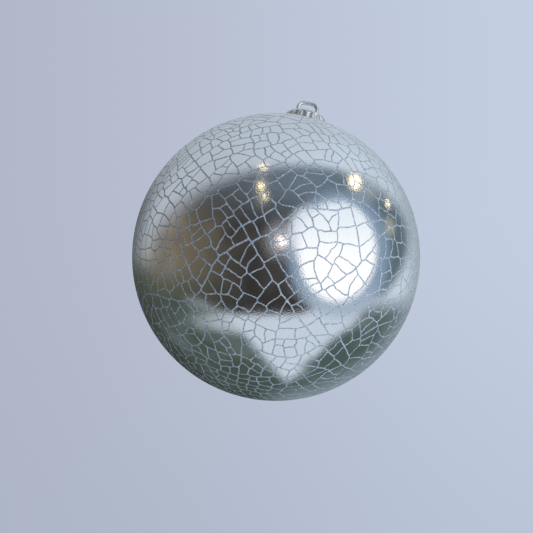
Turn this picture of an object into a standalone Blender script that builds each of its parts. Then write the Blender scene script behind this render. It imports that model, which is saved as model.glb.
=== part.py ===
"""Glass ball ornament: a blown glass globe with a short neck, the silver lining inside
it, a stamped crown cap over the neck, and the sprung wire that the ornament hangs by.

Metres, +Z up. The ornament hangs in its natural pose. The origin is the underside of
the hanger loop's top, where a hook or ribbon holds it, so the ball is below the origin.
Heights in this file are measured from the ball's centre, and placed() lowers them.
"""

import math

import bmesh
import bpy
from mathutils import Vector

COLLECTION = "glass_ball_ornament"

# Clearances
GAP = 0.0003
MERGE = 0.00001

# Globe
BALL_RADIUS = 0.0500
GLASS_WALL = 0.0010
NECK_RADIUS = 0.0065
BORE_RADIUS = 0.0053
NECK_TOP = 0.0543
NECK_FILLET = 0.0012
BORE_FILLET = 0.0008
TURN_STEPS = 48
QUARTER_STEPS = 11

# Silver lining
LINING_WALL = 0.0003

# Crown cap
CAP_SHEET = 0.0004
CAP_TOP = NECK_TOP + GAP + CAP_SHEET
CAP_WALL_RADIUS = 0.0074
CAP_SHOULDER = 0.0010
CAP_FLUTES = 20
CAP_STEPS_PER_FLUTE = 5
CAP_FLUTE_DEPTH = 0.0002
CAP_SKIRT_RADIUS = 0.0083
CAP_SKIRT_HEIGHT = 0.0502
CAP_SCALLOP = 0.0002
CAP_FLUTE_RUN_IN = 0.0005
CAP_FLARE_HEIGHT = 0.0010
CAP_FLARE_MIDDLE = 0.0004
CAP_FLARE_HOLLOW = 0.0001
WIRE_HOLE_RADIUS = 0.0010
WIRE_CUTTER_DEPTH = 0.0040

# Wire hanger
WIRE_RADIUS = 0.0007
HANG_HEIGHT = 0.0600
LOOP_HALF_WIDTH = 0.00345
LOOP_CORNER = 0.0022
LEG_HALF_WIDTH = 0.0043
LEG_KINK_TOP = 0.0541
LEG_KINK_BOTTOM = 0.0532
LEG_BEND = 0.0430
LEG_TIP = 0.0380
LEG_TIP_HALF_WIDTH = 0.0032
KINK_CORNER = 0.0006
BEND_CORNER = 0.0050


def placed(radius, height):
    """A profile point in the XZ plane, at a height above the ball's centre."""
    return Vector((radius, 0.0, height - HANG_HEIGHT))


def arc(centre, radius, start_deg, end_deg, steps):
    """Points (x, height) round an arc, from its start to its end."""
    points = []
    for step in range(steps + 1):
        angle = math.radians(start_deg + (end_deg - start_deg) * step / steps)
        points.append((centre[0] + radius * math.cos(angle), centre[1] + radius * math.sin(angle)))
    return points


def quarters(radius, top_deg):
    """A ball's meridian from the bottom, by the equator, up to an angle near the top."""
    lower = arc((0, 0), radius, -90, 0, QUARTER_STEPS)
    return lower + arc((0, 0), radius, 0, top_deg, QUARTER_STEPS)[1:]


def clear_scene():
    for thing in list(bpy.data.objects):
        bpy.data.objects.remove(thing, do_unlink=True)


def collection(name):
    found = bpy.data.collections.get(name)
    if found is None:
        found = bpy.data.collections.new(name)
        bpy.context.scene.collection.children.link(found)
    return found


def principled(name, colour, roughness, metallic, alpha=1.0):
    material = bpy.data.materials.new(name)
    material.use_nodes = True
    shader = material.node_tree.nodes["Principled BSDF"]
    shader.inputs["Base Color"].default_value = (*colour, 1.0)
    shader.inputs["Roughness"].default_value = roughness
    shader.inputs["Metallic"].default_value = metallic
    shader.inputs["Alpha"].default_value = alpha
    material.diffuse_color = (*colour, alpha)
    return material


def add_object(name, data, material, home):
    thing = bpy.data.objects.new(name, data)
    data.materials.append(material)
    home.objects.link(thing)
    return thing


def turned(name, profile, material, home):
    """A solid of revolution round Z, from a profile of (radius, height) points."""
    mesh = bpy.data.meshes.new(name)
    edges = [(i, i + 1) for i in range(len(profile) - 1)]
    mesh.from_pydata([placed(x, height) for x, height in profile], edges, [])
    thing = add_object(name, mesh, material, home)
    screw = thing.modifiers.new("Turn", "SCREW")
    screw.axis = "Z"
    screw.angle = 2 * math.pi
    screw.steps = TURN_STEPS
    screw.render_steps = TURN_STEPS
    screw.use_merge_vertices = True
    screw.merge_threshold = MERGE
    screw.use_smooth_shade = True
    return thing


def make_globe(home):
    """The blown ball: inner wall up to the lip of the neck, then the outer wall down."""
    inner = BALL_RADIUS - GLASS_WALL
    bore_centre_x = BORE_RADIUS + BORE_FILLET
    bore_centre = (bore_centre_x, math.sqrt((inner + BORE_FILLET) ** 2 - bore_centre_x ** 2))
    bore_angle = math.degrees(math.atan2(bore_centre[1], bore_centre[0]))
    neck_centre_x = NECK_RADIUS + NECK_FILLET
    neck_centre = (neck_centre_x, math.sqrt((BALL_RADIUS + NECK_FILLET) ** 2 - neck_centre_x ** 2))
    neck_angle = math.degrees(math.atan2(neck_centre[1], neck_centre[0]))
    lip_radius = (NECK_RADIUS - BORE_RADIUS) / 2
    lip_centre = (BORE_RADIUS + lip_radius, NECK_TOP - lip_radius)

    profile = [(0.0, -inner)] + quarters(inner, bore_angle)[1:]
    profile += arc(bore_centre, BORE_FILLET, 180 + bore_angle, 180, 3)[1:]
    profile += arc(lip_centre, lip_radius, 180, 0, 4)
    profile += arc(neck_centre, NECK_FILLET, 180, 180 + neck_angle, 3)
    profile += quarters(BALL_RADIUS, neck_angle)[-2:0:-1] + [(0.0, -BALL_RADIUS)]
    glass = principled("clear_glass", (0.86, 0.90, 0.93), 0.03, 0.0, 0.35)
    return turned("glass_globe", profile, glass, home)


def make_lining(home):
    """The silver coat inside the glass, open at the neck so that the wire legs pass."""
    outer = BALL_RADIUS - GLASS_WALL - GAP
    inner = outer - LINING_WALL
    mouth_deg = math.degrees(math.acos(BORE_RADIUS / outer))
    profile = [(0.0, -inner)] + quarters(inner, mouth_deg)[1:]
    profile += quarters(outer, mouth_deg)[:0:-1] + [(0.0, -outer)]
    silver = principled("silver_mirror", (0.80, 0.82, 0.84), 0.05, 1.0)
    return turned("silver_lining", profile, silver, home)


def cap_rings():
    """The cap's outer side: radius, height, flute depth and scallop drop of each ring."""
    rings = []
    shoulder_centre = (CAP_WALL_RADIUS - CAP_SHOULDER, CAP_TOP - CAP_SHOULDER)
    for radius, height in arc(shoulder_centre, CAP_SHOULDER, 90, 0, 3):
        rings.append((radius, height, 0.0, 0.0))
    wall_top = CAP_TOP - CAP_SHOULDER
    flare_top = CAP_SKIRT_HEIGHT + CAP_FLARE_HEIGHT
    rings.append((CAP_WALL_RADIUS, wall_top - CAP_FLUTE_RUN_IN, CAP_FLUTE_DEPTH, 0.0))
    rings.append((CAP_WALL_RADIUS, flare_top, CAP_FLUTE_DEPTH, 0.0))
    middle_radius = (CAP_WALL_RADIUS + CAP_SKIRT_RADIUS) / 2 - CAP_FLARE_HOLLOW
    middle_height = CAP_SKIRT_HEIGHT + CAP_FLARE_MIDDLE
    rings.append((middle_radius, middle_height, CAP_FLUTE_DEPTH, CAP_SCALLOP / 2))
    rings.append((CAP_SKIRT_RADIUS, CAP_SKIRT_HEIGHT, CAP_FLUTE_DEPTH, CAP_SCALLOP))
    return rings


def fluted(ring, count):
    """One ring of the cap: a circle whose radius and height ripple with the flutes."""
    radius, height, depth, drop = ring
    points = []
    for step in range(count):
        angle = 2 * math.pi * step / count
        ripple = math.cos(CAP_FLUTES * angle)
        reach = radius + depth * ripple
        lift = height - HANG_HEIGHT - drop * (ripple + 1) / 2
        points.append(Vector((reach * math.cos(angle), reach * math.sin(angle), lift)))
    return points


def wire_hole_cutter(name, x, home):
    mesh = bpy.data.meshes.new(name)
    shape = bmesh.new()
    bmesh.ops.create_cone(shape, cap_ends=True, segments=16, radius1=WIRE_HOLE_RADIUS,
                          radius2=WIRE_HOLE_RADIUS, depth=WIRE_CUTTER_DEPTH)
    shape.to_mesh(mesh)
    shape.free()
    cutter = bpy.data.objects.new(name, mesh)
    cutter.location = placed(x, CAP_TOP)
    cutter.hide_render = True
    cutter.display_type = "WIRE"
    home.objects.link(cutter)
    return cutter


def make_cap(home, cutters):
    """The crown cap: a disc whose rim is drawn down ring by ring, then given its thickness."""
    count = CAP_FLUTES * CAP_STEPS_PER_FLUTE
    rings = cap_rings()
    mesh = bpy.data.meshes.new("crown_cap")
    shape = bmesh.new()
    made = bmesh.ops.create_circle(shape, cap_ends=True, segments=count, radius=rings[0][0])
    rim = sorted(made["verts"], key=lambda v: math.atan2(v.co.y, v.co.x) % (2 * math.pi))
    for vert, place in zip(rim, fluted(rings[0], count)):
        vert.co = place
    for ring in rings[1:]:
        edges = [shape.edges.get((rim[i], rim[(i + 1) % count])) for i in range(count)]
        grown = bmesh.ops.extrude_edge_only(shape, edges=edges)["geom"]
        fresh = [item for item in grown if isinstance(item, bmesh.types.BMVert)]
        rim = sorted(fresh, key=lambda v: math.atan2(v.co.y, v.co.x) % (2 * math.pi))
        for vert, place in zip(rim, fluted(ring, count)):
            vert.co = place
    bmesh.ops.recalc_face_normals(shape, faces=shape.faces)
    if max(shape.faces, key=lambda face: face.calc_area()).normal.z < 0:
        bmesh.ops.reverse_faces(shape, faces=shape.faces)
    shape.to_mesh(mesh)
    shape.free()
    mesh.shade_smooth()
    metal = principled("plated_cap", (0.78, 0.79, 0.80), 0.22, 1.0)
    cap = add_object("crown_cap", mesh, metal, home)
    sheet = cap.modifiers.new("Sheet", "SOLIDIFY")
    sheet.thickness = CAP_SHEET
    sheet.offset = -1
    for side, x in (("left", -LOOP_HALF_WIDTH), ("right", LOOP_HALF_WIDTH)):
        cut = cap.modifiers.new("Wire hole " + side, "BOOLEAN")
        cut.operation = "DIFFERENCE"
        cut.solver = "EXACT"
        cut.object = wire_hole_cutter("wire_hole_" + side, x, cutters)
    return cap


def rounded(corners, steps=5):
    """A path of (x, height) points through corners, each rounded to its own radius."""
    path = [corners[0][:2]]
    for before, corner, after in zip(corners, corners[1:], corners[2:]):
        here = Vector(corner[:2])
        back = (Vector(before[:2]) - here).normalized()
        ahead = (Vector(after[:2]) - here).normalized()
        half = back.angle(ahead) / 2
        centre = here + (back + ahead).normalized() * corner[2] / math.sin(half)
        reach = corner[2] / math.tan(half)
        first = (here + back * reach - centre).normalized()
        last = (here + ahead * reach - centre).normalized()
        for step in range(steps + 1):
            path.append(tuple(centre + first.slerp(last, step / steps) * corner[2]))
    path.append(corners[-1][:2])
    return path


def make_hanger(home):
    """One bent spring wire: loop above the cap, kinks under it, legs inside the neck."""
    top = HANG_HEIGHT + WIRE_RADIUS
    half = rounded([
        (LEG_TIP_HALF_WIDTH, LEG_TIP),
        (LEG_HALF_WIDTH, LEG_BEND, BEND_CORNER),
        (LEG_HALF_WIDTH, LEG_KINK_BOTTOM, KINK_CORNER),
        (LOOP_HALF_WIDTH, LEG_KINK_TOP, KINK_CORNER),
        (LOOP_HALF_WIDTH, top, LOOP_CORNER),
        (0.0, top),
    ])
    route = half + [(-x, height) for x, height in reversed(half[:-1])]
    curve = bpy.data.curves.new("wire_hanger", "CURVE")
    curve.dimensions = "3D"
    curve.bevel_depth = WIRE_RADIUS
    curve.bevel_resolution = 2
    curve.use_fill_caps = True
    line = curve.splines.new("POLY")
    line.points.add(len(route) - 1)
    for point, (x, height) in zip(line.points, route):
        point.co = (*placed(x, height), 1.0)
    steel = principled("spring_wire", (0.72, 0.73, 0.75), 0.18, 1.0)
    return add_object("wire_hanger", curve, steel, home)


def main():
    clear_scene()
    home = collection(COLLECTION)
    cutters = collection("cutters")
    make_globe(home)
    make_lining(home)
    make_cap(home, cutters)
    make_hanger(home)


main()
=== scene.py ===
"""Looks of the glass ball ornament: a crackled mirror ball under clear glass, its crown
cap and its wire hanger, hung over a pale floor in soft studio light.

Metres, +Z up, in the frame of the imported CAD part. The ball hangs below the origin.
"""

import math
import random

import bmesh
import bpy
import numpy as np
from mathutils import Matrix, Vector
from mathutils.geometry import delaunay_2d_cdt


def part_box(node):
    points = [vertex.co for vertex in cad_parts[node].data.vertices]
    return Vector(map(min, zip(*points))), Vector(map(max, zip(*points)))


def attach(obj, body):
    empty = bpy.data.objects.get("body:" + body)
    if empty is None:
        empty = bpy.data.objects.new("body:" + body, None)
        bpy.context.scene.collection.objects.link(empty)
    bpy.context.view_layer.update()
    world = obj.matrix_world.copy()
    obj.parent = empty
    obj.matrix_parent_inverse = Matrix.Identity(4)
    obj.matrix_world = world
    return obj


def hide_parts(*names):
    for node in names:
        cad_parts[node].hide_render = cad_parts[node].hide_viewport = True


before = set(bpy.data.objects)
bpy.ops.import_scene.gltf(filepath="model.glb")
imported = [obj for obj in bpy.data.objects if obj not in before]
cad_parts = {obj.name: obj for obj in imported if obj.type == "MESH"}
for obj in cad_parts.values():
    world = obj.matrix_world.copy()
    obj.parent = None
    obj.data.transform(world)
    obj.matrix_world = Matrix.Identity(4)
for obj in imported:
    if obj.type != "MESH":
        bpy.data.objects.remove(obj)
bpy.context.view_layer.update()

MM = 0.001
SEED = 7

# Taken from the frame; heights are measured from the ball's middle
globe_low, globe_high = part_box("glass_globe")
_, cap_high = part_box("crown_cap")
wire_low, wire_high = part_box("wire_hanger")
BALL_RADIUS = (globe_high.x - globe_low.x) / 2
CENTRE = Vector((0, 0, globe_low.z + BALL_RADIUS))
NECK_TOP = globe_high.z - CENTRE.z
CAP_TOP = cap_high.z - CENTRE.z
LEG_TIP = wire_low.z - CENTRE.z

# Camera, as seen from the ball; the ball's shares are of half the picture's width
CAMERA_ELEVATION = math.radians(-20)
CAMERA_ROLL = math.radians(12)
CAMERA_DISTANCE = 0.50
BALL_SHARE = 0.5404
BALL_RIGHT = 0.0356
BALL_ABOVE = 0.0356
SENSOR = 36.0

# Floor and lights; the lights' ways are right, up and towards the camera
FLOOR_RADIUS = 8.0
FLOOR_DROP = 0.40
KEY_STRENGTH = 2.2
KEY_WAY = (0.765, 0.09, 0.64)
FILL_STRENGTH = 0.8
FILL_WAY = (-0.30, -0.82, 0.48)
LIGHT_ANGLE = math.radians(80)
LIGHT_COLOUR = (0.97, 0.985, 1.0)

# Glass body
GLASS_WALL = 1.0 * MM
GROOVE_DEPTH = 0.06 * MM
NECK_RADIUS = 6.5 * MM
BORE_RADIUS = 5.3 * MM
NECK_FILLET = 1.2 * MM
BORE_FILLET = 0.8 * MM
GLOBE_STEPS = 160

# Crackle: the cells' sizes, the area whose crack is widest, and the side where cells are largest
CELL_AREA = (20 * MM * MM, 41 * MM * MM)
WIDE_AREA = 900 * MM * MM
COARSE_SIDE = Vector((0.40, -0.89, -0.20))

# Crackle: the first crack, round the whole ball
FIRST_CRACK_POLE = (0.62, -0.35, 0.70)
FIRST_CRACK_STEPS = 420
FIRST_CRACK_WAVES = 4
FIRST_CRACK_LEAN = 0.05

# Crackle: the cracks' widths and courses
WIDE_CRACK = 0.50 * MM
FINE_CRACK = 0.42 * MM
CRACK_STEP = 0.75 * MM
SHORTEST_CRACK = 1.2 * MM
SWAY = 0.036
LONG_CRACK_SWAY = 1.8 * SWAY
JITTER = 0.05 * MM
KINK = (0.10 * MM, 0.60 * MM)
KINK_REACH = 1.0 * MM

# Crackle: how a cell's crack is chosen
MOST_TRIES = 24
FEWEST_TRIES = 5
LONG_CELL = 1.35
SMALLEST_PART = 0.22
AREA_SLIP = 0.25
CORNER_SPACING = 1.3 * MM
CORNER_PENALTY = 0.45

# Mirror cells
CELL_SLOPE = 0.03 * MM
CELL_ROOT = 0.12 * MM
CORNER_CUT = 0.16 * MM
SHARP_TURN = 0.6
INNER_POINTS = 2.25 * MM
ROW_SPACING = 0.87 * INNER_POINTS
NECK_CLEAR = 7.75 * MM

# Cap
CAP_SHEET = 0.4 * MM
CAP_WALL_RADIUS = 7.4 * MM
CAP_SHOULDER = 1.0 * MM
CAP_SKIRT_RADIUS = 8.3 * MM
CAP_SKIRT_HEIGHT = 50.2 * MM
CAP_FLARE = 1.0 * MM
CAP_FLUTES = 20
CAP_FLUTE_STEPS = 12
CAP_FLUTE_DEPTH = 0.2 * MM
CAP_FLUTE_RUN_IN = 0.5 * MM
CAP_SCALLOP = 0.2 * MM
WIRE_HOLE_RADIUS = 1.0 * MM

# Wire
WIRE_RADIUS = 0.7 * MM
WIRE_END_ROUND = 0.25 * MM
LOOP_HALF_WIDTH = 3.45 * MM
LOOP_CORNER = 2.2 * MM
LEG_HALF_WIDTH = (wire_high.x - wire_low.x) / 2 - WIRE_RADIUS
LEG_TIP_HALF_WIDTH = 3.2 * MM
LEG_KNEE = (43.0 * MM, 5.0 * MM)
LEG_SHOULDERS = (53.2 * MM, 54.1 * MM)
SHOULDER_BEND = 0.6 * MM
WIRE_BEND_STEPS = 10


# ---------------------------------------------------------------- camera and stage

def camera_axes():
    """Right, up and towards-the-camera, as unit vectors, with the camera's roll in them."""
    towards = Vector((0, -math.cos(CAMERA_ELEVATION), math.sin(CAMERA_ELEVATION)))
    upright = (Vector((0, 0, 1)) - towards * towards.z).normalized()
    sideways = upright.cross(towards)
    right = sideways * math.cos(CAMERA_ROLL) + upright * math.sin(CAMERA_ROLL)
    up = upright * math.cos(CAMERA_ROLL) - sideways * math.sin(CAMERA_ROLL)
    return right, up, towards


def make_camera():
    """The photo's viewing angle, with the ball where the photo has it."""
    right, up, towards = camera_axes()
    seen = BALL_RADIUS / math.sqrt(CAMERA_DISTANCE ** 2 - BALL_RADIUS ** 2)
    half_frame = seen / BALL_SHARE
    data = bpy.data.cameras.new("camera")
    data.sensor_width = SENSOR
    data.lens = SENSOR / 2 / half_frame
    camera = bpy.data.objects.new("camera", data)
    bpy.context.scene.collection.objects.link(camera)
    aside = right * BALL_RIGHT + up * BALL_ABOVE
    look = (-towards - aside * half_frame).normalized()
    side = look.cross(up).normalized()
    axes = Matrix((side, side.cross(look), -look)).transposed()
    camera.matrix_world = Matrix.Translation(CENTRE + towards * CAMERA_DISTANCE) @ axes.to_4x4()
    bpy.context.scene.camera = camera


class Nodes:
    """A short way to write node trees: each call adds a node and returns its output."""

    def __init__(self, tree):
        self.tree = tree

    def add(self, kind, **settings):
        node = self.tree.nodes.new(kind)
        for name, value in settings.items():
            setattr(node, name, value)
        return node

    def put(self, socket, value):
        if isinstance(value, bpy.types.NodeSocket):
            self.tree.links.new(value, socket)
        elif isinstance(value, (tuple, list, Vector)) and socket.type == "RGBA":
            socket.default_value = (*value[:3], 1.0)
        else:
            socket.default_value = value

    def math(self, operation, a, b=0.0):
        node = self.add("ShaderNodeMath", operation=operation)
        self.put(node.inputs[0], a)
        self.put(node.inputs[1], b)
        return node.outputs[0]

    def dot(self, a, b):
        node = self.add("ShaderNodeVectorMath", operation="DOT_PRODUCT")
        self.put(node.inputs[0], a)
        self.put(node.inputs[1], b)
        return node.outputs["Value"]

    def ramp(self, value, low, high, to_low=0.0, to_high=1.0):
        node = self.add("ShaderNodeMapRange", interpolation_type="SMOOTHSTEP")
        self.put(node.inputs["Value"], value)
        for name, number in (("From Min", low), ("From Max", high),
                             ("To Min", to_low), ("To Max", to_high)):
            self.put(node.inputs[name], number)
        return node.outputs["Result"]

    def mix(self, share, a, b):
        node = self.add("ShaderNodeMix", data_type="RGBA")
        self.put(node.inputs["Factor"], share)
        self.put(node.inputs[6], a)
        self.put(node.inputs[7], b)
        return node.outputs[2]

    def noise(self, where, scale, detail=2.0, roughness=0.5):
        node = self.add("ShaderNodeTexNoise")
        self.put(node.inputs["Vector"], where)
        self.put(node.inputs["Scale"], scale)
        self.put(node.inputs["Detail"], detail)
        self.put(node.inputs["Roughness"], roughness)
        return node.outputs["Fac"]

    def bump(self, height, strength, distance):
        node = self.add("ShaderNodeBump")
        self.put(node.inputs["Height"], height)
        self.put(node.inputs["Strength"], strength)
        self.put(node.inputs["Distance"], distance)
        return node.outputs["Normal"]


class StudioMap(Nodes):
    """World nodes that know where each direction shows on the ball's face.

    Across and along run from -1 to 1 over the ball as the main camera sees it, and edge is
    the distance from its middle.
    """

    def __init__(self, tree):
        super().__init__(tree)
        right, up, towards = camera_axes()
        self.direction = self.add("ShaderNodeTexCoord").outputs["Generated"]
        facing = self.math("ADD", self.dot(self.direction, towards), 1.0001)
        spread = self.math("SQRT", self.math("MULTIPLY", facing, 2.0))
        self.across = self.math("DIVIDE", self.dot(self.direction, right), spread)
        self.along = self.math("DIVIDE", self.dot(self.direction, up), spread)
        self.edge = self.length(self.across, self.along)

    def length(self, x, y):
        squares = self.math("ADD", self.math("MULTIPLY", x, x), self.math("MULTIPLY", y, y))
        return self.math("SQRT", squares)

    def distance(self, x, y, half_x, half_y, skew=0.0):
        """How far out from an ellipse's middle a direction shows: 1 on the ellipse."""
        dx = self.math("DIVIDE", self.math("SUBTRACT", self.across, x), half_x)
        risen = self.math("SUBTRACT", self.along, self.math("MULTIPLY", self.across, skew))
        dy = self.math("DIVIDE", self.math("SUBTRACT", risen, y), half_y)
        return self.length(dx, dy)

    def patch(self, x, y, half_x, half_y, soft, strength=1.0):
        """The strength inside an ellipse of the ball's face, 0 outside, with a soft edge."""
        return self.ramp(self.distance(x, y, half_x, half_y), 1 - soft, 1 + soft, strength, 0.0)


def pale_cards(n):
    """Pale cards above and behind, brighter on the right."""
    cards = n.mix(n.ramp(n.across, -0.6, 0.6), (0.47, 0.515, 0.57), (0.64, 0.725, 0.82))
    return n.mix(n.ramp(n.along, 0.55, 1.0), cards, (0.51, 0.57, 0.64))


def table(n, colour):
    """The table below: a bright wedge between two dim, slightly green sides."""
    sides = n.mix(n.ramp(n.across, -0.4, 0.5), (0.060, 0.078, 0.064), (0.070, 0.108, 0.098))
    mottled = n.ramp(n.noise(n.direction, 2.2, 4.0, 0.7), 0.44, 0.68, 0.0, 0.4)
    sides = n.mix(mottled, sides, (0.22, 0.27, 0.27))
    top = n.mix(n.patch(0.00, -0.43, 0.50, 0.090, 0.35), sides, (0.47, 0.52, 0.57))
    ragged = n.math("ADD", n.along, n.math("MULTIPLY", n.noise(n.direction, 4.0, 3.0, 0.6), 0.12))
    right_side = n.math("SUBTRACT", ragged, n.math("MULTIPLY", n.across, 0.95))
    left_side = n.math("ADD", n.across, n.math("MULTIPLY", n.along, 0.85))
    wedge = n.patch(0.12, -0.50, 0.48, 0.49, 0.15)
    wedge = n.math("MULTIPLY", wedge, n.ramp(right_side, -0.92, -0.80))
    wedge = n.math("MULTIPLY", wedge, n.ramp(left_side, -0.705, -0.605))
    top = n.mix(wedge, top, (0.60, 0.67, 0.76))
    far_edge = n.ramp(n.across, -0.45, -0.85, 0.0, 0.28)
    below = n.ramp(n.math("SUBTRACT", n.along, far_edge), -0.22, -0.42)
    return n.mix(below, colour, top)


def rim(n, colour):
    """The ball's rim, where everything from behind is squeezed together."""
    behind = n.mix(n.ramp(n.across, -0.8, 0.8), (0.045, 0.046, 0.040), (0.28, 0.34, 0.38))
    above = n.mix(n.ramp(n.across, -0.5, 0.5), (0.41, 0.465, 0.52), (0.50, 0.57, 0.64))
    below = n.mix(n.ramp(n.across, -0.22, 0.20), (0.030, 0.038, 0.028), (0.25, 0.31, 0.35))
    behind = n.mix(n.ramp(n.along, 0.25, 0.90), behind, above)
    behind = n.mix(n.ramp(n.along, -0.25, -0.85), behind, below)
    return n.mix(n.ramp(n.edge, 0.84, 1.0, 0.0, 0.8), colour, behind)


def room_tones(n):
    """The dim room's tones: warm on the left, nearly black beside it, slate above and on the right."""
    blotch = n.ramp(n.noise(n.direction, 3.0, 3.0, 0.6), 0.3, 0.7)
    tan = n.mix(blotch, (0.150, 0.122, 0.082), (0.245, 0.208, 0.155))
    tan = n.mix(n.ramp(n.along, 0.0, -0.24), tan, (0.095, 0.098, 0.070))
    dark = n.mix(blotch, (0.034, 0.031, 0.029), (0.060, 0.055, 0.050))
    warm = n.mix(n.ramp(n.across, -0.74, -0.18), tan, dark)
    slate = n.mix(n.ramp(n.across, -0.5, 0.3), (0.075, 0.082, 0.088), (0.150, 0.195, 0.245))
    tones = n.mix(n.ramp(n.along, 0.16, 0.52), warm, slate)
    return n.mix(n.ramp(n.across, 0.15, 0.75), tones, (0.115, 0.160, 0.185))


def dim_room(n, colour):
    """The room in front: a dark ellipse over most of the face, cut off by the table's edge."""
    table_edge = n.ramp(n.across, 0.10, 0.50, -0.385, -0.27)
    table_edge = n.math("ADD", table_edge, n.ramp(n.across, -0.25, -0.60, 0.0, 0.11))
    over_table = n.ramp(n.math("SUBTRACT", n.along, table_edge), -0.03, 0.03)
    soft = n.ramp(n.across, -0.7, 0.4, 0.15, 0.06)
    reach = n.distance(0.01, 0.015, 0.895, 0.590, 0.11)
    inside = n.ramp(reach, n.math("SUBTRACT", 1.0, soft), n.math("ADD", 1.0, soft), 1.0, 0.0)
    colour = n.mix(n.math("MULTIPLY", inside, over_table), colour, room_tones(n))
    return n.mix(n.patch(0.764, 0.20, 0.035, 0.06, 0.6), colour, (0.40, 0.38, 0.29))


def round_window(n, colour):
    """The round bright window, with its bluish fringe and a paler patch up on its left."""
    fringe = n.mix(n.ramp(n.along, -0.08, -0.36), (0.235, 0.325, 0.44), (0.40, 0.49, 0.60))
    glass = n.mix(n.ramp(n.along, -0.1, 0.34), (1.16, 1.16, 1.16), (0.86, 0.92, 0.99))
    colour = n.mix(n.patch(0.42, 0.02, 0.345, 0.42, 0.12), colour, fringe)
    colour = n.mix(n.patch(0.23, 0.16, 0.14, 0.17, 0.25), colour, (0.82, 0.88, 0.96))
    return n.mix(n.patch(0.410, 0.04, 0.264, 0.336, 0.08), colour, glass)


def warm_lamps(n, colour):
    """Small warm lamps, with a glow round three of them: middles and half sizes on the ball's face."""
    glows = (((0.62, 0.47, 0.09, 0.09, 0.8, 0.6), (0.42, 0.48, 0.52)),
             ((-0.095, 0.45, 0.032, 0.090, 0.9, 0.35), (0.75, 0.66, 0.42)),
             ((0.035, 0.115, 0.085, 0.095, 0.9, 0.55), (0.64, 0.65, 0.70)))
    lamps = ((-0.083, 0.604, 0.022, 0.014), (-0.100, 0.475, 0.014, 0.020), (-0.076, 0.405, 0.012, 0.020),
             (0.530, 0.505, 0.034, 0.045), (0.757, 0.360, 0.012, 0.022))
    for spot, tone in glows:
        colour = n.mix(n.patch(*spot), colour, tone)
    for spot in lamps:
        colour = n.mix(n.patch(*spot, 0.35), colour, (2.8, 2.3, 1.5))
    return n.mix(n.patch(0.040, 0.105, 0.026, 0.030, 0.5), colour, (2.2, 1.9, 1.8))


def backdrop(n):
    """What the camera sees directly behind the ball: plain, pale and a little darker low down."""
    right, up, _ = camera_axes()
    side = n.ramp(n.dot(n.direction, right), -0.25, 0.25)
    wall = n.mix(side, (0.44, 0.475, 0.58), (0.56, 0.625, 0.77))
    low = n.ramp(n.dot(n.direction, up), 0.05, -0.25, 0.0, 0.35)
    return n.mix(low, wall, (0.36, 0.42, 0.52))


def make_world():
    """The studio that the mirror ball reflects, laid out by where it shows in the ball."""
    world = bpy.data.worlds.new("studio")
    bpy.context.scene.world = world
    world.use_nodes = True
    tree = world.node_tree
    tree.nodes.clear()
    n = StudioMap(tree)
    colour = pale_cards(n)
    for layer in (table, rim, dim_room, round_window, warm_lamps):
        colour = layer(n, colour)
    seen = n.add("ShaderNodeLightPath").outputs["Is Camera Ray"]
    background = n.add("ShaderNodeBackground")
    n.put(background.inputs["Color"], n.mix(seen, colour, backdrop(n)))
    output = n.add("ShaderNodeOutputWorld")
    tree.links.new(background.outputs[0], output.inputs[0])


def make_floor():
    """A plain pale floor that only the camera sees, so the mirror keeps its own studio."""
    mesh = bpy.data.meshes.new("floor")
    shape = bmesh.new()
    bmesh.ops.create_circle(shape, cap_ends=True, segments=96, radius=FLOOR_RADIUS)
    shape.to_mesh(mesh)
    shape.free()
    floor = bpy.data.objects.new("floor", mesh)
    floor.location = (0, 0, CENTRE.z - FLOOR_DROP)
    bpy.context.scene.collection.objects.link(floor)
    material, n, shader = new_material("pale_floor")
    n.put(shader.inputs["Base Color"], (0.84, 0.86, 0.94))
    n.put(shader.inputs["Roughness"], 1.0)
    n.put(shader.inputs["Specular IOR Level"], 0.0)
    mesh.materials.append(material)
    floor.visible_glossy = False
    floor.visible_diffuse = False
    floor.visible_transmission = False
    floor.visible_shadow = False


def make_light(name, way, strength):
    """A soft light for everything that isn't a mirror; way is right, up, towards the camera."""
    right, up, towards = camera_axes()
    direction = right * way[0] + up * way[1] + towards * way[2]
    data = bpy.data.lights.new(name, "SUN")
    data.angle = LIGHT_ANGLE
    data.energy = strength
    data.color = LIGHT_COLOUR
    light = bpy.data.objects.new(name, data)
    light.rotation_euler = direction.to_track_quat("Z", "Y").to_euler()
    light.visible_glossy = False
    bpy.context.scene.collection.objects.link(light)


# ---------------------------------------------------------------- materials

def new_material(name):
    material = bpy.data.materials.new(name)
    material.use_nodes = True
    n = Nodes(material.node_tree)
    return material, n, material.node_tree.nodes["Principled BSDF"]


def millimetres(n):
    """The point in the object's own space, in millimetres."""
    node = n.add("ShaderNodeVectorMath", operation="SCALE")
    n.put(node.inputs[0], n.add("ShaderNodeTexCoord").outputs["Object"])
    n.put(node.inputs["Scale"], 1000.0)
    return node.outputs[0]


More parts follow.
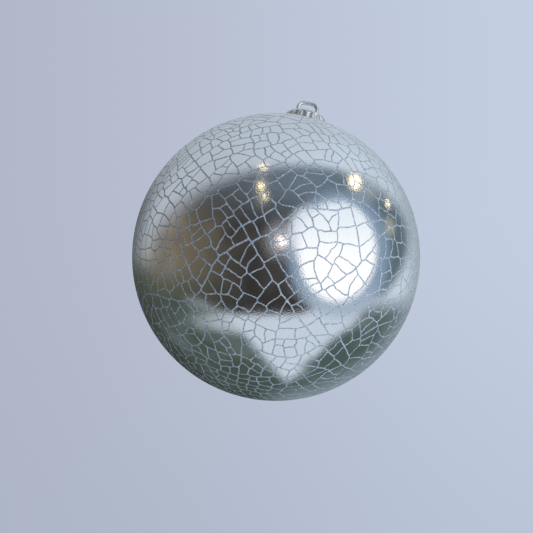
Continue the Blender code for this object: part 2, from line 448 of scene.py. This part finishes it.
def mirror_material():
    """Silvered cells under clear glass: a soft mirror with tiny pits and a slight waviness."""
    material, n, shader = new_material("crackled_mirror")
    where = millimetres(n)
    pits = n.ramp(n.noise(where, 2.0, 2.0, 0.6), 0.64, 0.74)
    cloud = n.noise(where, 0.10, 3.0)
    silver = n.mix(cloud, (0.86, 0.88, 0.89), (0.93, 0.94, 0.95))
    n.put(shader.inputs["Base Color"], n.mix(pits, silver, (0.66, 0.68, 0.70)))
    n.put(shader.inputs["Metallic"], 1.0)
    rough = n.ramp(n.noise(where, 0.35, 3.0), 0.3, 0.7, 0.075, 0.125)
    n.put(shader.inputs["Roughness"], n.math("ADD", rough, n.math("MULTIPLY", pits, 0.06)))
    n.put(shader.inputs["Normal"], n.bump(n.noise(where, 1.9, 2.0), 0.25, 0.0001))
    n.put(shader.inputs["Coat Weight"], 1.0)
    n.put(shader.inputs["Coat Roughness"], 0.02)
    n.put(shader.inputs["Coat IOR"], 1.5)
    return material


def crack_material():
    """The frosted lines between the cells: matte, pale, bluish, with fine bright grains."""
    material, n, shader = new_material("frosted_crackle")
    where = millimetres(n)
    grain = n.noise(where, 1.7, 3.0, 0.75)
    tone = n.mix(n.ramp(grain, 0.40, 0.62), (0.18, 0.23, 0.29), (0.40, 0.485, 0.595))
    flecks = n.ramp(n.noise(where, 2.0, 1.0), 0.63, 0.72)
    n.put(shader.inputs["Base Color"], n.mix(flecks, tone, (0.92, 0.94, 0.96)))
    n.put(shader.inputs["Metallic"], n.math("MULTIPLY", flecks, 0.8))
    n.put(shader.inputs["Roughness"], n.ramp(grain, 0.3, 0.7, 0.38, 0.62))
    n.put(shader.inputs["Normal"], n.bump(grain, 0.5, 0.0001))
    n.put(shader.inputs["Coat Weight"], 1.0)
    n.put(shader.inputs["Coat Roughness"], 0.05)
    n.put(shader.inputs["Coat IOR"], 1.5)
    return material


def glass_material():
    """The clear glass of the neck, fire-polished, a little wavy."""
    material, n, shader = new_material("neck_glass")
    where = millimetres(n)
    n.put(shader.inputs["Base Color"], (0.90, 0.95, 0.95))
    n.put(shader.inputs["Roughness"], n.ramp(n.noise(where, 0.6, 2.0), 0.3, 0.7, 0.02, 0.08))
    n.put(shader.inputs["Transmission Weight"], 0.9)
    n.put(shader.inputs["IOR"], 1.5)
    n.put(shader.inputs["Normal"], n.bump(n.noise(where, 0.5, 1.0), 0.15, 0.0003))
    return material


def backing_material():
    """The inside of the silvering: a dull grey metal film."""
    material, n, shader = new_material("silver_backing")
    where = millimetres(n)
    cloud = n.noise(where, 0.2, 3.0)
    n.put(shader.inputs["Base Color"], n.mix(cloud, (0.42, 0.42, 0.41), (0.60, 0.60, 0.59)))
    n.put(shader.inputs["Metallic"], 0.85)
    n.put(shader.inputs["Roughness"], n.ramp(n.noise(where, 0.5, 3.0), 0.3, 0.7, 0.35, 0.55))
    return material


def cap_material():
    """Bright plated sheet metal, a little worn and smudged."""
    material, n, shader = new_material("plated_sheet")
    where = millimetres(n)
    smudge = n.noise(where, 0.5, 4.0, 0.6)
    n.put(shader.inputs["Base Color"], n.mix(smudge, (0.74, 0.76, 0.79), (0.90, 0.91, 0.93)))
    n.put(shader.inputs["Metallic"], 1.0)
    n.put(shader.inputs["Roughness"], n.ramp(smudge, 0.3, 0.7, 0.34, 0.48))
    n.put(shader.inputs["Normal"], n.bump(n.noise(where, 1.6, 2.0), 0.12, 0.0001))
    return material


def wire_material():
    """Drawn spring wire: bright, with fine scratches along its length."""
    material, n, shader = new_material("drawn_wire")
    where = millimetres(n)
    stretch = n.add("ShaderNodeVectorMath", operation="MULTIPLY")
    n.put(stretch.inputs[0], where)
    stretch.inputs[1].default_value = (9.0, 9.0, 0.7)
    scratch = n.noise(stretch.outputs[0], 1.0, 3.0, 0.6)
    n.put(shader.inputs["Base Color"], n.mix(scratch, (0.88, 0.90, 0.93), (0.97, 0.98, 0.99)))
    n.put(shader.inputs["Metallic"], 1.0)
    n.put(shader.inputs["Roughness"], n.ramp(scratch, 0.3, 0.7, 0.32, 0.46))
    n.put(shader.inputs["Normal"], n.bump(scratch, 0.05, 0.00005))
    return material


# ---------------------------------------------------------------- crackle pattern

def unit(vector):
    return vector / np.linalg.norm(vector)


class Cell:
    """One cell of the crackle on the unit sphere.

    rim holds its outline, anticlockwise as seen from outside; half[i] is half the width of
    the crack from point i to the next; corner marks the points where two cracks meet.
    """

    def __init__(self, rim, half, corner):
        self.rim = rim
        self.half = half
        self.corner = corner
        ahead = np.roll(rim, -1, 0)
        pole = unit(np.cross(rim, ahead).sum(0))
        turned = np.cross(rim, ahead) @ pole
        slices = 2 * np.arctan2(turned, 1 + (rim * ahead).sum(1) + rim @ pole + ahead @ pole)
        self.area = float(slices.sum()) * BALL_RADIUS ** 2
        self.middle = unit(((rim + ahead + pole) * slices[:, None]).sum(0))
        aside = unit(np.cross(self.middle, [0.32, 0.77, 0.55]))
        self.axes = np.array([aside, np.cross(self.middle, aside)])

    def flatten(self, points):
        """Stereographic map about the cell's middle, in metres at the middle."""
        scale = 2 * BALL_RADIUS / (1 + points @ self.middle)
        return points @ self.axes.T * scale[:, None]

    def lift(self, flat):
        """The way back from flatten, to unit vectors."""
        q = flat / BALL_RADIUS
        s = (q ** 2).sum(1, keepdims=True) / 4
        return (q @ self.axes + (1 - s) * self.middle) / (1 + s)


def cross2(a, b):
    return a[..., 0] * b[..., 1] - a[..., 1] * b[..., 0]


def turned_left(v):
    return np.stack([-v[..., 1], v[..., 0]], -1)


def crossings(flat, through, heading):
    """Where a line meets the outline on either side: (how far, segment, point)."""
    side = cross2(heading, flat - through)
    ahead = np.roll(side, -1)
    hits = np.nonzero((side > 0) != (ahead > 0))[0]
    found = []
    for i in hits:
        share = side[i] / (side[i] - ahead[i])
        point = flat[i] + share * (flat[(i + 1) % len(flat)] - flat[i])
        found.append((float((point - through) @ heading), int(i), point))
    front = [hit for hit in found if hit[0] > 0]
    back = [hit for hit in found if hit[0] < 0]
    if not front or not back:
        return None
    return min(front, key=lambda hit: hit[0]), max(back, key=lambda hit: hit[0])


def crack_line(rng, start, end, start_in, end_in, sway):
    """A crack from start to end that leaves both old cracks nearly squarely and wanders a little."""
    span = end - start
    length = np.linalg.norm(span)
    straight = span / length
    square = rng.uniform(0.10, 0.60)
    leave = (1 - square) * straight + square * start_in
    arrive = -(1 - square) * straight + square * end_in
    bend_a = start + leave / np.linalg.norm(leave) * length / 3
    bend_b = end + arrive / np.linalg.norm(arrive) * length / 3
    count = max(3, round(length / CRACK_STEP))
    t = np.linspace(0, 1, count + 1)[:, None]
    line = (start * (1 - t) ** 3 + 3 * bend_a * t * (1 - t) ** 2
            + 3 * bend_b * t ** 2 * (1 - t) + end * t ** 3)
    wander = np.zeros(count + 1)
    for wave in range(1, 6):
        wander += rng.gauss(0, sway / wave) * np.sin(math.pi * wave * t[:, 0])
    jitter = np.array([rng.gauss(0, JITTER) for _ in range(count + 1)])
    fade = np.minimum(1, 4 * t[:, 0] * (1 - t[:, 0]))
    return line + turned_left(straight) * ((wander * length + jitter) * fade)[:, None]


def roundness(cell):
    steps = np.linalg.norm(np.roll(cell.rim, -1, 0) - cell.rim, axis=1) * BALL_RADIUS
    return 4 * math.pi * cell.area / steps.sum() ** 2


def crack_halves(rng, area, count):
    """Half the width of each of a crack's steps: the wider, the larger the cell that it breaks."""
    age = math.log(area / CELL_AREA[0]) / math.log(WIDE_AREA / CELL_AREA[0])
    width = FINE_CRACK + (WIDE_CRACK - FINE_CRACK) * min(1.0, max(0.0, age))
    width *= rng.uniform(0.85, 1.15)
    waves = np.linspace(0, rng.uniform(2, 9), count)
    return width / 2 * (1 + 0.12 * np.sin(waves + rng.uniform(0, 6)))


def part_of(cell, path, halves, i, j):
    """The part of a cell along its rim from side i, where the crack starts, to side j, where it ends."""
    count = len(cell.rim)
    kept = [(i + 1 + k) % count for k in range((j - i) % count)]
    outline = np.concatenate([path[:1], cell.rim[kept], path[:0:-1]])
    half = np.concatenate([cell.half[[i]], cell.half[kept], halves[::-1]])
    corner = np.concatenate([[True], cell.corner[kept], [True], np.zeros(len(path) - 2, bool)])
    return Cell(outline, half, corner)


def crowding(corners, ends):
    """A penalty for a crack that ends close to one of the cell's older corners."""
    if not len(corners):
        return 0.0
    near = min(np.linalg.norm(corners - end, axis=1).min() for end in ends)
    return CORNER_PENALTY * max(0.0, 1 - near / CORNER_SPACING)


def try_split(cell, rng, flat, centre, long_way, stretch, length):
    """One random crack across a cell: its score, the two parts and the crack's ends, or None."""
    turn = rng.gauss(0, 0.36) if stretch > LONG_CELL else rng.uniform(-1.5, 1.5)
    heading = turned_left(long_way) * math.cos(turn) + long_way * math.sin(turn)
    through = centre + long_way * length * rng.gauss(0, 0.08)
    hits = crossings(flat, through, heading)
    if hits is None:
        return None
    (_, i, start), (_, j, end) = hits
    if i == j or np.linalg.norm(start - end) < SHORTEST_CRACK:
        return None
    inward = [turned_left(unit(flat[(k + 1) % len(flat)] - flat[k])) for k in (i, j)]
    sway = LONG_CRACK_SWAY if cell.area > WIDE_AREA / 2 else SWAY
    path = cell.lift(crack_line(rng, start, end, *inward, sway))
    halves = crack_halves(rng, cell.area, len(path) - 1)
    parts = [part_of(cell, path, halves, i, j), part_of(cell, path[::-1], halves[::-1], j, i)]
    areas = [part.area for part in parts]
    if min(areas) < SMALLEST_PART * cell.area or abs(sum(areas) / cell.area - 1) > AREA_SLIP:
        return None
    score = min(roundness(part) for part in parts) - crowding(flat[cell.corner], (start, end))
    ends = [(path[0], unit(path[1] - path[0])), (path[-1], unit(path[-2] - path[-1]))]
    return score, parts, ends


def split(cell, rng):
    """The best of a few random cracks across a cell: its parts and the crack's ends, or None."""
    flat = cell.flatten(cell.rim)
    steps = np.linalg.norm(np.roll(flat, -1, 0) - flat, axis=1)
    mids = (flat + np.roll(flat, -1, 0)) / 2
    centre = cell.flatten(cell.middle[None])[0]
    sizes, ways = np.linalg.eigh(((mids - centre).T * steps) @ (mids - centre))
    long_way = ways[:, 1]
    stretch = math.sqrt(sizes[1] / sizes[0])
    reach = (flat - centre) @ long_way
    best = None
    for attempt in range(MOST_TRIES):
        made = try_split(cell, rng, flat, centre, long_way, stretch, reach.max() - reach.min())
        if made and (best is None or made[0] > best[0]):
            best = made
        if best and attempt + 1 >= FEWEST_TRIES:
            break
    return best[1:] if best else None


def coarseness(point):
    """How large the cells grow around a point: largest on the coarse side, patchy all over."""
    patchy = math.sin(5.1 * point[0] + 2.0) * math.cos(4.3 * point[1] + 3.1 * point[2])
    facing = Vector(point).dot(COARSE_SIDE)
    return 0.75 + 0.20 * patchy + 0.36 * facing * facing + 0.16 * facing * abs(facing)


def first_crack(rng):
    """A wavy great circle, as unit vectors."""
    pole = unit(np.array(FIRST_CRACK_POLE))
    aside = unit(np.cross(pole, [0, 0, 1]))
    other = np.cross(pole, aside)
    phases = [rng.uniform(0, 6.28) for _ in range(FIRST_CRACK_WAVES)]
    ring = []
    for step in range(FIRST_CRACK_STEPS):
        angle = 2 * math.pi * step / FIRST_CRACK_STEPS
        lean = sum(FIRST_CRACK_LEAN / (k + 1) * math.sin((k + 2) * angle + phase)
                   for k, phase in enumerate(phases))
        ring.append(unit(aside * math.cos(angle) + other * math.sin(angle) + pole * lean))
    return np.array(ring)


def crackle():
    """The whole ball broken crack by crack: each new crack runs between two older ones."""
    rng = random.Random(SEED)
    ring = first_crack(rng)
    half = np.full(len(ring), WIDE_CRACK / 2)
    plain = np.zeros(len(ring), bool)
    waiting = [Cell(ring, half, plain), Cell(ring[::-1].copy(), half, plain)]
    done, joints = [], []
    while waiting:
        cell = waiting.pop()
        small_enough = cell.area < rng.uniform(*CELL_AREA) * coarseness(cell.middle)
        made = None if small_enough else split(cell, rng)
        if made is None:
            done.append(cell)
            continue
        waiting.extend(made[0])
        joints.extend((*end, rng.uniform(*KINK)) for end in made[1])
    return pulled_in(done, joints)


def pulled_in(cells, joints):
    """Each crack pulls the older one it meets a little towards itself, so junctions turn Y-shaped."""
    points = np.array([joint[0] for joint in joints])
    pulls = np.array([joint[1] * joint[2] for joint in joints]) / BALL_RADIUS
    settled = []
    for cell in cells:
        rim, half, corner = with_joints(cell, points)
        gap = np.sqrt(np.maximum(0, 2 - 2 * rim @ points.T)) * BALL_RADIUS
        moved = rim + np.exp(-gap / KINK_REACH) @ pulls
        settled.append(Cell(moved / np.linalg.norm(moved, axis=1)[:, None], half, corner))
    return settled


def with_joints(cell, points):
    """A cell's rim with a point added wherever a neighbour's crack ends on it."""
    reach = np.linalg.norm(cell.rim - cell.middle, axis=1).max() + 0.001
    near = points[np.linalg.norm(points - cell.middle, axis=1) < reach]
    ahead = np.roll(cell.rim, -1, 0)
    span = ahead - cell.rim
    size = (span ** 2).sum(1)
    extra = []
    for point in near:
        share = ((point - cell.rim) * span).sum(1) / size
        gap = np.linalg.norm(cell.rim + span * np.clip(share, 0, 1)[:, None] - point, axis=1)
        k = int(gap.argmin())
        margin = min(share[k], 1 - share[k]) * math.sqrt(size[k])
        if gap[k] * BALL_RADIUS < 0.02 * MM and margin * BALL_RADIUS > 0.08 * MM:
            extra.append((k + share[k], k, point))
    rim, half, corner = list(cell.rim), list(cell.half), list(cell.corner)
    for _, k, point in sorted(extra, key=lambda item: item[0], reverse=True):
        rim.insert(k + 1, point)
        half.insert(k + 1, half[k])
        corner.insert(k + 1, False)
    return np.array(rim), np.array(half), np.array(corner)


# ---------------------------------------------------------------- mirror cells

def inset(flat, half):
    """The outline moved inwards by each side's own half width, without its overrun."""
    before = np.roll(flat, 1, 0)
    ahead = np.roll(flat, -1, 0)
    into = flat - before
    out = ahead - flat
    into /= np.linalg.norm(into, axis=1)[:, None]
    out /= np.linalg.norm(out, axis=1)[:, None]
    in_a, in_b = turned_left(into), turned_left(out)
    half_a, half_b = np.roll(half, 1), half
    bend = cross2(in_a, in_b)
    both = in_a + in_b
    plain = flat + both / np.linalg.norm(both, axis=1)[:, None] * ((half_a + half_b) / 2)[:, None]
    safe = np.where(np.abs(bend) < 0.15, 1.0, bend)
    x = (half_a * in_b[:, 1] - half_b * in_a[:, 1]) / safe
    y = (half_b * in_a[:, 0] - half_a * in_b[:, 0]) / safe
    moved = np.where((np.abs(bend) < 0.15)[:, None], plain, flat + np.stack([x, y], 1))
    span = ahead - flat
    size = (span ** 2).sum(1)
    kept = []
    for point in moved:
        share = np.clip(((point - flat) * span).sum(1) / size, 0, 1)
        gap = np.linalg.norm(flat + span * share[:, None] - point, axis=1)
        if (gap > half - 0.03 * MM).all():
            kept.append(point)
    return np.array(kept)


def cut_corners(outline):
    """Each sharp corner replaced by a short side."""
    kept = []
    count = len(outline)
    for i in range(count):
        back = outline[i - 1] - outline[i]
        out = outline[(i + 1) % count] - outline[i]
        size_back, size_out = np.linalg.norm(back), np.linalg.norm(out)
        if size_back < 0.02 * MM:
            continue
        turn = abs(math.atan2(cross2(-back, out), (-back) @ out))
        if turn > SHARP_TURN and min(size_back, size_out) > 2.2 * CORNER_CUT:
            kept.append(outline[i] + back / size_back * CORNER_CUT)
            kept.append(outline[i] + out / size_out * CORNER_CUT)
        else:
            kept.append(outline[i])
    return np.array(kept)


def inside_points(outline):
    """A loose hexagonal grid of points well inside an outline."""
    low, high = outline.min(0), outline.max(0)
    span = np.roll(outline, -1, 0) - outline
    points = []
    rows = int((high[1] - low[1]) / ROW_SPACING) + 1
    for row in range(rows):
        y = low[1] + (row + 0.5) * ROW_SPACING
        x = low[0] + (0.25 + 0.5 * (row % 2)) * INNER_POINTS
        while x < high[0]:
            point = np.array([x, y])
            rel = point - outline
            share = np.clip((rel * span).sum(1) / (span ** 2).sum(1), 0, 1)
            gap = np.linalg.norm(rel - span * share[:, None], axis=1).min()
            above = outline[:, 1] > y
            flips = above != np.roll(above, -1)
            reach = outline[:, 0] + (y - outline[:, 1]) / np.where(flips, span[:, 1], 1) * span[:, 0]
            if gap > 0.45 * INNER_POINTS and (flips & (reach > x)).sum() % 2:
                points.append(point)
            x += INNER_POINTS
    return points


def plate(cell):
    """A cell's triangulated top and its outline.

    Simpler outlines are tried where one crosses itself; with none left, there is no plate.
    """
    flat = cell.flatten(cell.rim)
    full = inset(flat, cell.half)
    for outline in (cut_corners(full), full, full[::2], full[1::2], full[::3]):
        if len(outline) < 3:
            continue
        top = [Vector(point) for point in outline] + [Vector(point) for point in inside_points(outline)]
        made = delaunay_2d_cdt(top, [], [list(range(len(outline)))], 1, 1e-9)
        if len(made[0]) == len(top):
            return made, outline
    return None, None


def cell_mesh(cells):
    """All the mirror cells: each a thin closed plate with sloping sides, curved with the ball."""
    verts, faces, normals, frosted = [], [], [], []
    for cell in cells:
        made, outline = plate(cell)
        if made is None:
            continue
        count = len(outline)
        ahead = np.roll(outline, -1, 0) - outline
        ahead /= np.linalg.norm(ahead, axis=1)[:, None]
        outward = -turned_left(ahead + np.roll(ahead, 1, 0))
        outward /= np.linalg.norm(outward, axis=1)[:, None]
        base = len(verts)
        surface = cell.lift(np.array([tuple(p) for p in made[0]]))
        root = cell.lift(outline + outward * CELL_SLOPE)
        verts.extend((surface * BALL_RADIUS).tolist())
        verts.extend((root * (BALL_RADIUS - CELL_ROOT)).tolist())
        low = base + len(surface)
        for face in made[2]:
            faces.append([base + v for v in face])
            normals.extend(surface[v] for v in face)
            frosted.append(0)
        for i in range(count):
            j = (i + 1) % count
            quad = [base + i, low + i, low + j, base + j]
            faces.append(quad)
            a, b, c = (np.array(verts[v]) for v in quad[:3])
            flank = unit(np.cross(b - a, c - a))
            normals.extend([flank] * 4)
        faces.append([low + i for i in reversed(range(count))])
        normals.extend([-cell.middle] * count)
        frosted.extend([1] * (count + 1))
    mesh = bpy.data.meshes.new("mirror_cells")
    mesh.from_pydata(verts, [], faces)
    mesh.transform(Matrix.Translation(CENTRE))
    mesh.polygons.foreach_set("material_index", frosted)
    mesh.shade_smooth()
    mesh.normals_split_custom_set([tuple(v) for v in normals])
    return mesh


def clear_of_neck(cell):
    """Moves a cell's rim out of the neck's root; false if the cell lies under the neck."""
    reach = np.linalg.norm(cell.rim[:, :2], axis=1) * BALL_RADIUS
    under = (reach < NECK_CLEAR) & (cell.rim[:, 2] > 0)
    if not under.any():
        return True
    middle_reach = np.linalg.norm(cell.middle[:2]) * BALL_RADIUS
    if under.mean() > 0.75 or (middle_reach < 0.8 * NECK_CLEAR and cell.middle[2] > 0):
        return False
    for i in np.nonzero(under)[0]:
        flat = cell.rim[i, :2] / np.linalg.norm(cell.rim[i, :2]) * NECK_CLEAR / BALL_RADIUS
        cell.rim[i] = (*flat, math.sqrt(1 - flat @ flat))
    return True


def make_mirror_cells():
    mesh = cell_mesh([cell for cell in crackle() if clear_of_neck(cell)])
    mesh.materials.append(mirror_material())
    mesh.materials.append(crack_material())
    return place(mesh, "globe", "silver_lining")


# ---------------------------------------------------------------- glass, cap and wire

def place(mesh, body, node):
    """Adds a piece that stands for a CAD node and rides on its body."""
    piece = bpy.data.objects.new(mesh.name, mesh)
    bpy.context.scene.collection.objects.link(piece)
    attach(piece, body)
    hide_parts(node)
    return piece


def arc(centre, radius, start_deg, end_deg, steps):
    points = []
    for step in range(steps + 1):
        angle = math.radians(start_deg + (end_deg - start_deg) * step / steps)
        points.append((centre[0] + radius * math.cos(angle), centre[1] + radius * math.sin(angle)))
    return points


def turn(name, stretches, steps):
    """A closed solid of revolution from profile stretches, each with its own material index."""
    profile, kinds = [], []
    for kind, points in stretches:
        for point in points:
            if profile and math.dist(profile[-1], point) < 0.001 * MM:
                continue
            profile.append(point)
            kinds.append(kind)
    verts, rings = [], []
    for radius, height in profile:
        if radius < 0.001 * MM:
            rings.append([len(verts)] * steps)
            verts.append((0, 0, height))
            continue
        rings.append(list(range(len(verts), len(verts) + steps)))
        for step in range(steps):
            angle = 2 * math.pi * step / steps
            verts.append((radius * math.cos(angle), radius * math.sin(angle), height))
    faces, indices = [], []
    for upper, lower, kind in zip(rings, rings[1:], kinds[1:]):
        for step in range(steps):
            after = (step + 1) % steps
            face = [upper[step], lower[step], lower[after], upper[after]]
            face = [v for k, v in enumerate(face) if v not in face[:k]]
            faces.append(face)
            indices.append(kind)
    mesh = bpy.data.meshes.new(name)
    mesh.from_pydata(verts, [], faces)
    mesh.transform(Matrix.Translation(CENTRE))
    mesh.polygons.foreach_set("material_index", indices)
    mesh.shade_smooth()
    return mesh


def make_glass():
    """The blown body: groove floor outside, clear neck, silvered inside."""
    outer = BALL_RADIUS - GROOVE_DEPTH
    inner = BALL_RADIUS - GLASS_WALL
    bore_x = BORE_RADIUS + BORE_FILLET
    bore_centre = (bore_x, math.sqrt((inner + BORE_FILLET) ** 2 - bore_x ** 2))
    bore_deg = math.degrees(math.atan2(bore_centre[1], bore_centre[0]))
    neck_x = NECK_RADIUS + NECK_FILLET
    neck_centre = (neck_x, math.sqrt((outer + NECK_FILLET) ** 2 - neck_x ** 2))
    neck_deg = math.degrees(math.atan2(neck_centre[1], neck_centre[0]))
    lip = (NECK_RADIUS - BORE_RADIUS) / 2
    lip_centre = (BORE_RADIUS + lip, NECK_TOP - lip)
    frost, clear, silver = 0, 1, 2
    mesh = turn("globe_glass", [
        (silver, [(0, -inner)] + arc((0, 0), inner, -90, bore_deg, 90)[1:]),
        (clear, arc(bore_centre, BORE_FILLET, 180 + bore_deg, 180, 6)),
        (clear, arc(lip_centre, lip, 180, 0, 12)),
        (clear, arc(neck_centre, NECK_FILLET, 180, 180 + neck_deg, 8)),
        (frost, arc((0, 0), outer, neck_deg, -90, 150)[:-1] + [(0, -outer)]),
    ], GLOBE_STEPS)
    for material in (crack_material(), glass_material(), backing_material()):
        mesh.materials.append(material)
    return place(mesh, "globe", "glass_globe")


def cap_profile():
    """Rings of the cap's outer side: radius, height, flute depth, scallop drop."""
    top = CAP_TOP
    pressed = ((0.6, 0), (2.0, 0), (4.9, 0), (5.15, 0.03), (5.35, 0.10), (5.65, 0.10), (5.85, 0.03), (6.1, 0))
    rings = [(radius * MM, top - drop * MM, 0, 0) for radius, drop in pressed]
    for radius, height in arc((CAP_WALL_RADIUS - CAP_SHOULDER, top - CAP_SHOULDER), CAP_SHOULDER, 90, 0, 8):
        rings.append((radius, height, 0, 0))
    wall_top = top - CAP_SHOULDER
    flute_top = wall_top - CAP_FLUTE_RUN_IN
    flare_top = CAP_SKIRT_HEIGHT + CAP_FLARE
    for step in range(1, 5):
        depth = CAP_FLUTE_DEPTH * math.sin(math.pi / 2 * step / 4)
        rings.append((CAP_WALL_RADIUS, wall_top - CAP_FLUTE_RUN_IN * step / 4, depth, 0))
    for step in range(1, 6):
        rings.append((CAP_WALL_RADIUS, flute_top - (flute_top - flare_top) * step / 5, CAP_FLUTE_DEPTH, 0))
    for step in range(1, 8):
        share = step / 7
        rings.append((CAP_WALL_RADIUS + (CAP_SKIRT_RADIUS - CAP_WALL_RADIUS) * share ** 1.6,
                      flare_top - CAP_FLARE * math.sin(math.pi / 2 * share) ** 0.9,
                      CAP_FLUTE_DEPTH, CAP_SCALLOP * share))
    return rings


def cap_sheet():
    """The cap's outer side as one open sheet, fluted and scalloped."""
    steps = CAP_FLUTES * CAP_FLUTE_STEPS
    rings = cap_profile()
    verts = [(0, 0, CAP_TOP)]
    for radius, height, depth, drop in rings:
        for step in range(steps):
            angle = 2 * math.pi * step / steps
            ripple = math.cos(CAP_FLUTES * angle)
            reach = radius + depth * ripple
            verts.append((reach * math.cos(angle), reach * math.sin(angle), height - drop * (ripple + 1) / 2))
    faces = [[0, 1 + step, 1 + (step + 1) % steps] for step in range(steps)]
    for ring in range(len(rings) - 1):
        upper, lower = 1 + ring * steps, 1 + (ring + 1) * steps
        for step in range(steps):
            after = (step + 1) % steps
            faces.append([upper + step, lower + step, lower + after, upper + after])
    mesh = bpy.data.meshes.new("crown_cap_sheet")
    mesh.from_pydata(verts, [], faces)
    mesh.transform(Matrix.Translation(CENTRE))
    return mesh


def add_draft(name, data):
    """A working object that is removed once its modifiers or bevel have been applied."""
    draft = bpy.data.objects.new(name, data)
    bpy.context.scene.collection.objects.link(draft)
    return draft


def applied(draft):
    """A draft's final mesh, without its materials."""
    bpy.context.view_layer.update()
    mesh = bpy.data.meshes.new_from_object(draft.evaluated_get(bpy.context.evaluated_depsgraph_get()))
    mesh.materials.clear()
    return mesh


def weld(mesh):
    """Joins points that lie within a micrometre of each other, as cuts and caps leave them."""
    shape = bmesh.new()
    shape.from_mesh(mesh)
    bmesh.ops.remove_doubles(shape, verts=shape.verts, dist=0.001 * MM)
    shape.to_mesh(mesh)
    shape.free()


def hole_cutter(x):
    shape = bmesh.new()
    bmesh.ops.create_cone(shape, cap_ends=True, segments=32, radius1=WIRE_HOLE_RADIUS,
                          radius2=WIRE_HOLE_RADIUS, depth=3 * MM)
    mesh = bpy.data.meshes.new("hole")
    shape.to_mesh(mesh)
    shape.free()
    cutter = add_draft("hole", mesh)
    cutter.location = CENTRE + Vector((x, 0, CAP_TOP))
    return cutter


def make_cap():
    """The cap: its sheet thickened inwards and pierced by the two wire holes."""
    cap = add_draft("crown_cap_draft", cap_sheet())
    sheet = cap.modifiers.new("sheet", "SOLIDIFY")
    sheet.thickness = CAP_SHEET
    sheet.offset = -1
    cutters = [hole_cutter(x) for x in (-LOOP_HALF_WIDTH, LOOP_HALF_WIDTH)]
    for cutter in cutters:
        cut = cap.modifiers.new("hole", "BOOLEAN")
        cut.object = cutter
        cut.solver = "EXACT"
    mesh = applied(cap)
    for draft in [cap] + cutters:
        bpy.data.objects.remove(draft)
    weld(mesh)
    mesh.name = "fluted_crown_cap"
    mesh.shade_smooth()
    mesh.set_sharp_from_angle(angle=math.radians(40))
    mesh.materials.append(cap_material())
    return place(mesh, "cap", "crown_cap")


def rounded(corners, steps):
    """A path of (x, height) points through corners, each rounded to its own radius."""
    path = [corners[0][:2]]
    for before, corner, after in zip(corners, corners[1:], corners[2:]):
        here = Vector(corner[:2])
        back = (Vector(before[:2]) - here).normalized()
        ahead = (Vector(after[:2]) - here).normalized()
        half = back.angle(ahead) / 2
        centre = here + (back + ahead).normalized() * corner[2] / math.sin(half)
        reach = corner[2] / math.tan(half)
        first = (here + back * reach - centre).normalized()
        last = (here + ahead * reach - centre).normalized()
        for step in range(steps + 1):
            path.append(tuple(centre + first.slerp(last, step / steps) * corner[2]))
    path.append(corners[-1][:2])
    return path


def wire_route():
    """The wire's middle line from one leg's tip over the loop to the other: (x, height)."""
    top = WIRE_RADIUS - CENTRE.z
    knee_height, knee_bend = LEG_KNEE
    low_shoulder, high_shoulder = LEG_SHOULDERS
    half = rounded([
        (LEG_TIP_HALF_WIDTH, LEG_TIP + 0.15 * MM),
        (LEG_HALF_WIDTH, knee_height, knee_bend),
        (LEG_HALF_WIDTH, low_shoulder, SHOULDER_BEND),
        (LOOP_HALF_WIDTH, high_shoulder, SHOULDER_BEND),
        (LOOP_HALF_WIDTH, top, LOOP_CORNER),
        (0.0, top),
    ], WIRE_BEND_STEPS)
    return half + [(-x, height) for x, height in reversed(half[:-1])]


def round_ends(mesh):
    """The rims of the wire's two flat ends, rounded off."""
    shape = bmesh.new()
    shape.from_mesh(mesh)
    rims = [edge for edge in shape.edges if any(len(face.verts) > 4 for face in edge.link_faces)]
    bmesh.ops.bevel(shape, geom=rims, offset=WIRE_END_ROUND, segments=3, affect="EDGES", profile=0.5)
    shape.to_mesh(mesh)
    shape.free()


def make_wire():
    """The hanger: one wire bent to the CAD route, round in section, with rounded ends."""
    route = wire_route()
    curve = bpy.data.curves.new("wire", "CURVE")
    curve.dimensions = "3D"
    curve.bevel_depth = WIRE_RADIUS
    curve.bevel_resolution = 6
    curve.use_fill_caps = True
    line = curve.splines.new("POLY")
    line.points.add(len(route) - 1)
    for point, (x, height) in zip(line.points, route):
        point.co = (x, 0, CENTRE.z + height, 1)
    draft = add_draft("wire_draft", curve)
    mesh = applied(draft)
    bpy.data.objects.remove(draft)
    weld(mesh)
    round_ends(mesh)
    mesh.name = "bent_wire"
    mesh.shade_smooth()
    mesh.materials.append(wire_material())
    return place(mesh, "hanger", "wire_hanger")


make_camera()
make_world()
make_floor()
make_light("key_light", KEY_WAY, KEY_STRENGTH)
make_light("fill_light", FILL_WAY, FILL_STRENGTH)
make_glass()
make_mirror_cells()
make_cap()
make_wire()
bpy.context.scene.view_settings.view_transform = "Standard"

bpy.context.view_layer.update()
